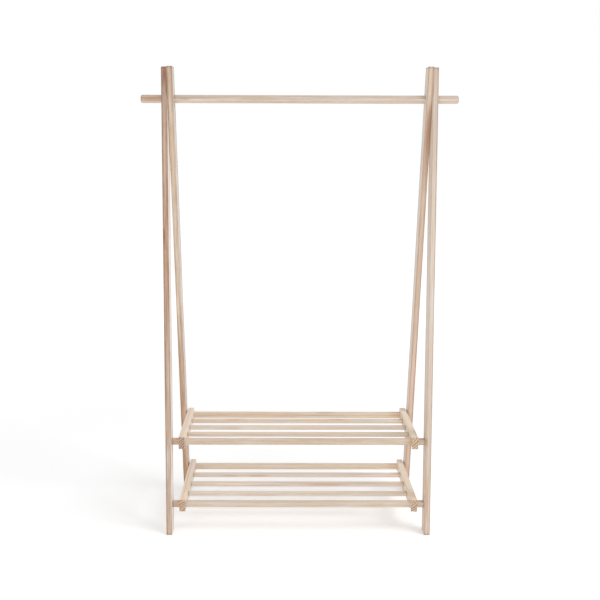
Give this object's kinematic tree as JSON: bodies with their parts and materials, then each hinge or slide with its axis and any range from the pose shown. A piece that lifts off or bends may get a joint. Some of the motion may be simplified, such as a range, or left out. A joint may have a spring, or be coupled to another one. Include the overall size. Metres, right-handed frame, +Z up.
{
  "type": "clothes rack",
  "caption": "Free-standing wooden clothes rack with crossed legs at each end, a round hanging rail through the crossings and slatted lift-off shelves below.",
  "frame": {"origin": "on the floor, under the middle of the rack", "axes": "+Z up, +X to the right along the hanging rail as seen from the front, front of the rack towards -Y"},
  "size_m": [0.992, 0.3638, 1.485],
  "materials": {
    "pale_wood": "planed and lightly oiled, matt",
    "warm_wood": "planed and lightly oiled, matt, from a redder board",
    "rail_wood": "turned and sanded, matt",
    "screw_steel": "plated steel, satin"
  },
  "bodies": {
    "frame": {"hanging_rail": "rail_wood", "front_leg_left": "warm_wood", "front_leg_right": "pale_wood", "rear_leg_left": "warm_wood", "rear_leg_right": "pale_wood", "lower_front_crossbar": "pale_wood", "lower_rear_crossbar": "pale_wood", "upper_front_crossbar": "pale_wood", "upper_rear_crossbar": "pale_wood", "rail_screw_left": "screw_steel", "rail_screw_right": "screw_steel", "lower_front_crossbar_screw_left": "screw_steel", "lower_front_crossbar_screw_right": "screw_steel", "lower_rear_crossbar_screw_left": "screw_steel", "lower_rear_crossbar_screw_right": "screw_steel", "upper_front_crossbar_screw_left": "screw_steel", "upper_front_crossbar_screw_right": "screw_steel", "upper_rear_crossbar_screw_left": "screw_steel", "upper_rear_crossbar_screw_right": "screw_steel"},
    "lower_shelf": {"lower_side_rail_left": "pale_wood", "lower_side_rail_right": "pale_wood", "lower_slat_1": "pale_wood", "lower_slat_2": "pale_wood", "lower_slat_3": "pale_wood", "lower_slat_1_screw_left": "screw_steel", "lower_slat_1_screw_right": "screw_steel", "lower_slat_2_screw_left": "screw_steel", "lower_slat_2_screw_right": "screw_steel", "lower_slat_3_screw_left": "screw_steel", "lower_slat_3_screw_right": "screw_steel"},
    "upper_shelf": {"upper_side_rail_left": "pale_wood", "upper_side_rail_right": "pale_wood", "upper_slat_1": "pale_wood", "upper_slat_2": "pale_wood", "upper_slat_3": "pale_wood", "upper_slat_1_screw_left": "screw_steel", "upper_slat_1_screw_right": "screw_steel", "upper_slat_2_screw_left": "screw_steel", "upper_slat_2_screw_right": "screw_steel", "upper_slat_3_screw_left": "screw_steel", "upper_slat_3_screw_right": "screw_steel"}
  },
  "joints": [
    {"name": "lower_shelf_lift", "type": "slide", "parent": "frame", "child": "lower_shelf", "axis": [0, 0, 1], "range_m": [0, 0.15]},
    {"name": "upper_shelf_lift", "type": "slide", "parent": "frame", "child": "upper_shelf", "axis": [0, 0, 1], "range_m": [0, 0.3]}
  ]
}
